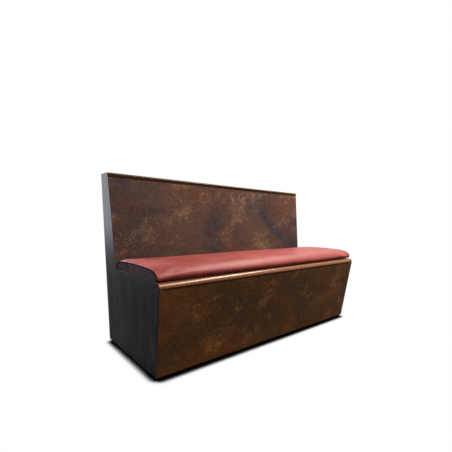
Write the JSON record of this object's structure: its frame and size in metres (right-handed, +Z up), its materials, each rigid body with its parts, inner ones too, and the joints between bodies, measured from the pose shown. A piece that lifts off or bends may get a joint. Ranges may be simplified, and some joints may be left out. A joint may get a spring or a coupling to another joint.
{
  "type": "banquette",
  "caption": "Straight banquette: boxed seat on levelling feet, low reclining back, laminate faces, rounded nosing and cap, and a crowned seat cushion that lifts off.",
  "frame": {"origin": "on the floor under the centre of the banquette's outline", "axes": "+X along the length to the right-hand end as seen from the front, -Y out of the front, +Z up"},
  "size_m": [1.5, 0.612, 0.91],
  "materials": {
    "side_laminate": "satin high-pressure laminate, anthracite",
    "rust_laminate": "satin high-pressure laminate, rusted-steel look",
    "side_board": "birch plywood, raw",
    "panel_board": "poplar plywood, raw",
    "deck_board": "poplar plywood, stained black",
    "pine_rail": "planed pine, raw",
    "nosing_wood": "hardwood moulding, copper-brown stain, gloss varnish",
    "cap_wood": "hardwood moulding, dark brown stain, satin varnish",
    "rear_board": "plywood panel, dark grey paint",
    "seat_leatherette": "burgundy leatherette, semi-gloss",
    "end_leatherette": "dark plum leatherette, semi-gloss",
    "foam": "upholstery foam, open cell",
    "dust_cloth": "black non-woven dust cloth",
    "fastening_tape": "black hook-and-loop tape",
    "zinc_steel": "zinc-plated steel",
    "staple_steel": "galvanised wire",
    "beech_dowel": "fluted beech dowel",
    "foot_nylon": "black nylon"
  },
  "bodies": {
    "carcass": {"left_side_board": "side_board", "right_side_board": "side_board", "left_side_skin": "side_laminate", "right_side_skin": "side_laminate", "centre_partition": "side_board", "front_board": "panel_board", "front_skin": "rust_laminate", "back_board": "panel_board", "back_skin": "rust_laminate", "seat_deck": "deck_board", "seat_nosing": "nosing_wood", "top_cap": "cap_wood", "rear_panel": "rear_board", "seat_front_rail": "pine_rail", "seat_rear_rail": "pine_rail", "front_bottom_rail": "pine_rail", "rear_bottom_rail": "pine_rail", "back_lower_rail": "pine_rail", "back_top_rail": "pine_rail", "rear_top_rail": "pine_rail", "foot_blocks": "pine_rail", "foot_inserts": "zinc_steel", "frame_dowels": "beech_dowel", "side_screws": "zinc_steel", "deck_screws": "zinc_steel", "rear_panel_screws": "zinc_steel", "nosing_screws": "zinc_steel", "deck_hook_strips": "fastening_tape"},
    "cushion": {"cushion_cover": "seat_leatherette", "cushion_left_end": "end_leatherette", "cushion_right_end": "end_leatherette", "cushion_left_piping": "end_leatherette", "cushion_right_piping": "end_leatherette", "cushion_foam": "foam", "cushion_board": "panel_board", "cushion_underside_cloth": "dust_cloth", "cushion_staples": "staple_steel", "cushion_loop_strips": "fastening_tape"},
    "front_left_foot_pad": {"front_left_foot_pad": "foot_nylon"},
    "front_left_foot_stud": {"front_left_foot_stud": "zinc_steel"},
    "front_middle_foot_pad": {"front_middle_foot_pad": "foot_nylon"},
    "front_middle_foot_stud": {"front_middle_foot_stud": "zinc_steel"},
    "front_right_foot_pad": {"front_right_foot_pad": "foot_nylon"},
    "front_right_foot_stud": {"front_right_foot_stud": "zinc_steel"},
    "rear_left_foot_pad": {"rear_left_foot_pad": "foot_nylon"},
    "rear_left_foot_stud": {"rear_left_foot_stud": "zinc_steel"},
    "rear_middle_foot_pad": {"rear_middle_foot_pad": "foot_nylon"},
    "rear_middle_foot_stud": {"rear_middle_foot_stud": "zinc_steel"},
    "rear_right_foot_pad": {"rear_right_foot_pad": "foot_nylon"},
    "rear_right_foot_stud": {"rear_right_foot_stud": "zinc_steel"}
  },
  "joints": [
    {"name": "cushion_lift", "type": "slide", "parent": "carcass", "child": "cushion", "axis": [0, 0, 1], "range_m": [0, 0.5]},
    {"name": "front_left_foot_height", "type": "slide", "parent": "carcass", "child": "front_left_foot_pad", "axis": [0, 0, -1], "range_m": [0, 0.012]},
    {"name": "front_left_foot_turn", "type": "hinge", "parent": "front_left_foot_pad", "child": "front_left_foot_stud", "pos_m": [-0.6998, -0.18766, 0.03], "axis": [0, 0, -1], "range_deg": [0, 3456.5]},
    {"name": "front_middle_foot_height", "type": "slide", "parent": "carcass", "child": "front_middle_foot_pad", "axis": [0, 0, -1], "range_m": [0, 0.012]},
    {"name": "front_middle_foot_turn", "type": "hinge", "parent": "front_middle_foot_pad", "child": "front_middle_foot_stud", "pos_m": [0.039, -0.18766, 0.03], "axis": [0, 0, -1], "range_deg": [0, 3456.5]},
    {"name": "front_right_foot_height", "type": "slide", "parent": "carcass", "child": "front_right_foot_pad", "axis": [0, 0, -1], "range_m": [0, 0.012]},
    {"name": "front_right_foot_turn", "type": "hinge", "parent": "front_right_foot_pad", "child": "front_right_foot_stud", "pos_m": [0.6998, -0.18766, 0.03], "axis": [0, 0, -1], "range_deg": [0, 3456.5]},
    {"name": "rear_left_foot_height", "type": "slide", "parent": "carcass", "child": "rear_left_foot_pad", "axis": [0, 0, -1], "range_m": [0, 0.012]},
    {"name": "rear_left_foot_turn", "type": "hinge", "parent": "rear_left_foot_pad", "child": "rear_left_foot_stud", "pos_m": [-0.6998, 0.246, 0.03], "axis": [0, 0, -1], "range_deg": [0, 3456.5]},
    {"name": "rear_middle_foot_height", "type": "slide", "parent": "carcass", "child": "rear_middle_foot_pad", "axis": [0, 0, -1], "range_m": [0, 0.012]},
    {"name": "rear_middle_foot_turn", "type": "hinge", "parent": "rear_middle_foot_pad", "child": "rear_middle_foot_stud", "pos_m": [0.039, 0.246, 0.03], "axis": [0, 0, -1], "range_deg": [0, 3456.5]},
    {"name": "rear_right_foot_height", "type": "slide", "parent": "carcass", "child": "rear_right_foot_pad", "axis": [0, 0, -1], "range_m": [0, 0.012]},
    {"name": "rear_right_foot_turn", "type": "hinge", "parent": "rear_right_foot_pad", "child": "rear_right_foot_stud", "pos_m": [0.6998, 0.246, 0.03], "axis": [0, 0, -1], "range_deg": [0, 3456.5]}
  ],
  "couplings": [
    {"joint": "front_left_foot_turn", "follows": "front_left_foot_height", "rad_per_m": 5026.5},
    {"joint": "front_middle_foot_turn", "follows": "front_middle_foot_height", "rad_per_m": 5026.5},
    {"joint": "front_right_foot_turn", "follows": "front_right_foot_height", "rad_per_m": 5026.5},
    {"joint": "rear_left_foot_turn", "follows": "rear_left_foot_height", "rad_per_m": 5026.5},
    {"joint": "rear_middle_foot_turn", "follows": "rear_middle_foot_height", "rad_per_m": 5026.5},
    {"joint": "rear_right_foot_turn", "follows": "rear_right_foot_height", "rad_per_m": 5026.5}
  ]
}
